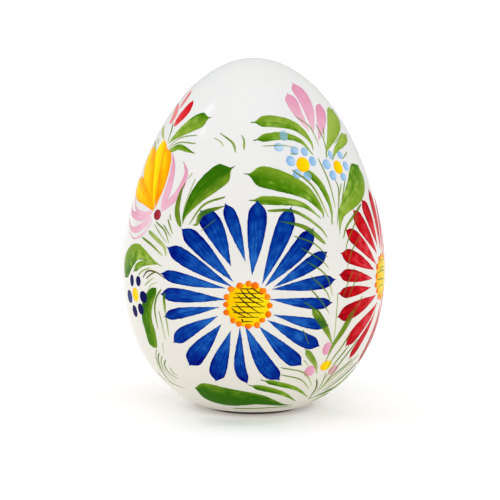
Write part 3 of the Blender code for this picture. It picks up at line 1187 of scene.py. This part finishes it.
TULIP = (
    strokes(
        Film.CRIMSON, Kind.BUD,
        (4.6, 0.6, (-2.5, 40.5), (-3, 36), (-4.5, 32.5), (-5.5, 29.5)),
        (2.4, 0.1, (-9, 44), (-8.5, 40.5), (-8.5, 36)),
    )
    + strokes(
        Film.CRIMSON, Kind.COMMA,
        (3.4, 0.0, (-14.5, 38), (-10, 34), (-9.5, 30)), (0.7, 0.0, (-15.5, 46), (-12.5, 40)),
    )
    + strokes(G, Kind.LEAF, (6.2, 0.3, (10, 34.5), (5.5, 32.5), (0.5, 28.5), (-2.5, 25.5), (-4.5, 23)))
    + strokes(G, Kind.COMMA, (2.2, 0.4, (10, 21), (4, 22.5), (1.5, 22.5), (-2.5, 20.5)))
    + strokes(
        L, Kind.LINER,
        (0.44, 0.4, (8, 27.5), (2.5, 26.5), (-1, 24.5), (-3.5, 22)),
        (0.53, 0.5, (9, 24.5), (3, 24.5), (-0.5, 23.5), (-3, 21.5)),
        (0.7, 0.5, (-7.5, 31), (-6, 28), (-5, 23.5)), (1.5, 0.1, (-16, 28.5), (-9, 24.5)),
        (0.7, 0.1, (-14.5, 24), (-12, 22)), (1.06, 0.2, (-17.5, 22.5), (-11.5, 20)),
    )
    + strokes(
        Film.TULIP, Kind.PETAL,
        (7.4, -0.1, (-8.5, 25), (-7.5, 20), (-5, 11.5), (-1.5, 0.5)),
        (8.6, 0.25, (-18, 21), (-12, 13), (-6, 5), (-1.5, 0.5)),
        (5.4, 0.5, (-4, 22), (-1.5, 16), (-0.5, 8.5), (-1, 0.5)),
        (7.0, 0.3, (-21.5, 8.5), (-14.5, 5.5), (-8, 3.5), (-1.5, 0)),
    )
    + strokes(
        Film.PINK, Kind.COMMA,
        (2.9, 0.5, (0, 20.5), (2.5, 16.5), (3.5, 12), (3.5, 7.5), (2.5, 1)),
        (2.8, 0.5, (6.5, 18), (9, 15), (9.5, 12.5), (9, 9), (7.5, 5.5), (2.5, 0.5)),
        (3.0, 0.4, (-22.5, 0.5), (-18.5, -2.5), (-13, -3), (-7.5, -2.5), (-2, -0.5)),
        (1.3, 0.4, (-18.5, 2.5), (-15, -0.5), (-11, -1.5), (-5.5, -1.5)),
        (2.4, 0.4, (-21.5, -5), (-16.5, -7.5), (-11, -7.5), (-5.5, -5), (-2, -2)),
        (0.7, 0.3, (-18, -9), (-12.5, -10.5), (-8, -9.5), (-4, -7), (-1.5, -3)),
    )
    + dots(Film.MAROON, 0.5, (1, -1, 1.9, 1.85))
)

BROAD_LEAVES = (
    strokes(G, Kind.LEAF, (7.8, 1.0, (15, 20.5), (10.5, 17), (4.5, 10.5), (0.5, 3.5), (0, 0)))
    + strokes(
        L, Kind.LINER,
        (0.35, 0.3, (0.5, 17.5), (-1, 15)), (0.35, 0.2, (2, 15.5), (-0.5, 5)),
        (0.79, 0.6, (14, 10), (7, 7), (2.5, 0)),
        (0.35, 0.4, (12, 2.5), (7, -2)), (0.79, 0.6, (6, 0.5), (4, 0)),
    )
    + strokes(
        L, Kind.COMMA,
        (2.2, 0.75, (-1.5, 14), (-2.5, 11.5), (-3, 8), (-3, 4.5), (-2, 1.5), (-0.5, -1)),
        (2.0, 0.7, (14.5, 7), (7, 4), (5.5, 0)),
        (0.8, 0.5, (6.5, 32), (12, 28.5), (14, 25)), (0.4, 0.2, (5, 30), (7.5, 29), (9.5, 27)),
        (0.8, 0.5, (14, 31.5), (15.5, 29.5), (16.5, 26)),
    )
)


@dataclass
class Painting:
    """Everything that the brush left, on both faces of the egg."""

    egg: EggShape
    tree: Tree
    rise: float = 0.012 * MM  # height of the first film's face over the glaze
    layer: float = 0.003 * MM  # each later stroke that may cross it lies this much higher
    layers: int = 4  # how many heights a coat's strokes take in turn
    sink: float = 0.03 * MM  # how far each film is fused into the glaze
    fray: Point = (0.5 * MM, 0.2 * MM)  # how ragged broad films and thin ones are
    steps_across: tuple[int, int] = (11, 4)  # of broad films and of thin ones
    step: float = 0.7  # mm between the points of a path
    back_turn: float = 180.0  # degrees from the front to the repeat on the back
    back_waver: float = 0.5  # mm by which the repeat's strokes stray
    seed: int = 7
    made: dict[Film, Thing] = field(default_factory=dict)

    def motifs(self) -> tuple[tuple[float, float, float, list[Stroke]], ...]:
        """Gives each motif's azimuth, its repeat's extra turn, both in degrees, height in mm and strokes."""
        return (
            (-33.5, 1, 68, BROAD_LEAVES), (39.5, -1, 66, SPRAY), (42, 0, 4.5, GRASS), (-51, 2, 71, TULIP),
            (-62, 3, 42.5, LITTLE_FLOWER), (71.5, -4, 47, RED_DAISY.strokes()),
            (-2.5, 0, 42.5, BLUE_DAISY.strokes()),
        )

    def sides(self, path: np.ndarray) -> np.ndarray:
        """Finds the directions across a path on the egg.

        Args:
            path: The path's points.

        Returns:
            For each point a unit vector along the egg's surface, square to the path.
        """
        near = 0.01 * MM
        slope = self.egg.radius(path[:, 2] + near) - self.egg.radius(path[:, 2] - near)
        normal = path * (1.0, 1.0, 0.0)
        normal[:, 2] = -np.linalg.norm(normal[:, :2], axis=1) * slope / (2 * near)
        side = np.cross(normal, np.gradient(path, axis=0))
        return side / np.linalg.norm(side, axis=1)[:, None]

    def lay(self, film: Film, laid: list[tuple[Chart, Stroke, float]]) -> None:
        """Lays all the strokes of one film.

        Args:
            film: The film.
            laid: For each stroke its chart, the stroke and how far it strays, in mm.
        """
        draw = random.Random(self.seed + list(Film).index(film))
        rows: dict[str, list] = {}
        points, edges, count = [], [], 0
        for number, (chart, stroke, waver) in enumerate(laid):
            path = tuple(tuple(k + draw.uniform(-1, 1) * waver for k in place) for place in stroke.path)
            here = chart.place(smooth_path(path, self.step))
            far = np.concatenate([[0], np.cumsum(np.linalg.norm(np.diff(here, axis=0), axis=1))])
            width = stroke.kind.widths(far / far[-1], stroke.width) / 2
            same = {
                "rise": self.rise + self.layer * (self.layers * film.value[1] + number % self.layers),
                "seed": draw.uniform(0, 90),
                "tone": stroke.tone + draw.uniform(-0.06, 0.06),
            }
            added = {key: [value] * len(here) for key, value in same.items()}
            added |= {"side": self.sides(here), "half_width": width * MM, "wide": width}
            added |= {"along": far / far[-1], "reach": far / MM}
            for key, values in added.items():
                rows.setdefault(key, []).extend(values)
            points.append(here)
            edges.append(np.column_stack([np.arange(len(here) - 1), np.arange(1, len(here))]) + count)
            count += len(here)
        thin, skin = film in (Film.LINERS, Film.HATCH), self.egg.skin
        inputs = {
            "Length": self.egg.length - 2 * skin, "Breadth": self.egg.breadth - 2 * skin,
            "Belly drop": self.egg.belly_drop, "Middle height": self.egg.middle_z,
            "Sink": self.sink, "Fray": self.fray[thin],
            "Steps across": self.steps_across[thin], "Material": PIGMENTS[film].material(),
        }
        for key, under in zip(("Under", "Second under"), UNDER.get(film, ())):
            inputs[key] = self.made[under]
        piece = run_tree(self.tree, film.value[0], np.vstack(points), inputs, np.vstack(edges), rows)
        self.made[film] = piece
        give(piece, "egg", "painted_glaze")

    def build(self) -> None:
        """Paints both faces, film by film."""
        laid: dict[Film, list] = {film: [] for film in Film}
        for turn, waver in ((0.0, 0.0), (self.back_turn, self.back_waver)):
            for azimuth, more, height, painted in self.motifs():
                chart = Chart(self.egg, azimuth + turn + (more if turn else 0), height)
                for stroke in painted:
                    laid[stroke.film].append((chart, stroke, waver))
        for film, work in laid.items():
            self.lay(film, work)


# ---------------------------------------------------------------- studio


@dataclass
class Studio:
    """A white sweep, soft light all around and a camera with a long lens."""

    camera_elevation: float = 8.32  # degrees
    camera_distance: float = 0.96
    aim: tuple[float, float, float] = (0.0, 0.0, 0.06)
    lens: float = 201.8
    shift: Point = (-0.0074, -0.0344)
    floor_side: float = 12.0
    floor_gap: float = 0.03 * MM  # keeps the floor from lying in the felt's own face
    front_strength: float = 1.03
    back_strength: float = 0.89
    dim_front: float = 0.05  # what reflections see of the light from the front
    dim_back: float = 0.62

    def floor(self) -> None:
        """Lays the pale floor."""
        mesh = bpy.data.meshes.new("floor")
        half, low = self.floor_side / 2, -self.floor_gap
        corners = [(x * half, y * half, low) for x, y in ((-1, -1), (1, -1), (1, 1), (-1, 1))]
        mesh.from_pydata(corners, [], [(0, 1, 2, 3)])
        mesh.materials.append(Sweep().material())
        put("floor", mesh)

    def world(self) -> None:
        """Lights from all around, with a dimmer front for reflections, as when black card flanks the lens."""
        world = bpy.data.worlds.new("studio")
        bpy.context.scene.world = world
        world.use_nodes = True
        tree = world.node_tree
        tree.nodes.clear()
        way = add(tree, "TexCoord").outputs["Generated"]
        depth = add(tree, "SeparateXYZ", [way]).outputs["Y"]
        mirrored = add(tree, "MapRange", [depth, -0.9, 1.0, self.dim_front, self.dim_back])
        soft = add(tree, "MapRange", [depth, -1.0, 1.0, self.front_strength, self.back_strength])
        rays = add(tree, "LightPath").outputs
        strength = add(tree, "Mix", {"Factor": rays["Is Camera Ray"], "A": soft, "B": 1.0})
        strength = add(tree, "Mix", {"Factor": rays["Is Glossy Ray"], "A": strength, "B": mirrored})
        back = add(tree, "Background", [linear("#ffffff"), strength])
        add(tree, "OutputWorld", {"Surface": back})

    def lamp(self, name: str, place: tuple[float, float, float], size: float, power: float) -> None:
        """Hangs one square lamp that faces the egg.

        Args:
            name: Its name.
            place: Where it hangs.
            size: Its side, in metres.
            power: Its power, in watts.
        """
        data = bpy.data.lights.new(name, "AREA")
        data.size, data.energy = size, power
        lamp = put(name, data)
        lamp.location = place
        lamp.rotation_euler = (Vector(place) - Vector(self.aim)).to_track_quat("Z", "Y").to_euler()

    def camera(self) -> None:
        """Sets the camera on its tripod."""
        data = bpy.data.cameras.new("camera")
        data.lens = self.lens
        data.shift_x, data.shift_y = self.shift
        camera = put("camera", data)
        tilt, reach = math.radians(self.camera_elevation), self.camera_distance
        camera.location = Vector(self.aim) + Vector((0, -reach * math.cos(tilt), reach * math.sin(tilt)))
        camera.rotation_euler = (math.pi / 2 - tilt, 0, 0)
        bpy.context.scene.camera = camera

    def build(self) -> None:
        """Sets up the whole studio."""
        self.floor()
        self.world()
        self.lamp("top_light", (0.0, -0.3, 1.6), 1.2, 1.6)
        self.lamp("left_window", (-0.97, 0.1, 1.26), 0.2, 0.4)
        self.lamp("left_blind", (-1.11, -0.15, 1.12), 0.13, 0.2)
        self.lamp("left_pane", (-0.59, -0.83, 1.23), 0.07, 0.06)
        self.camera()
        bpy.context.scene.view_settings.view_transform = "Standard"


def main() -> None:
    """Builds the egg and the studio."""
    logging.basicConfig(level=logging.INFO, format="%(name)s: %(message)s")
    egg = EggShape()
    Studio().build()
    TurnedPieces(egg, turning_tree()).build()
    Painting(egg, brush_tree()).build()


if __name__ == "__main__":
    main()
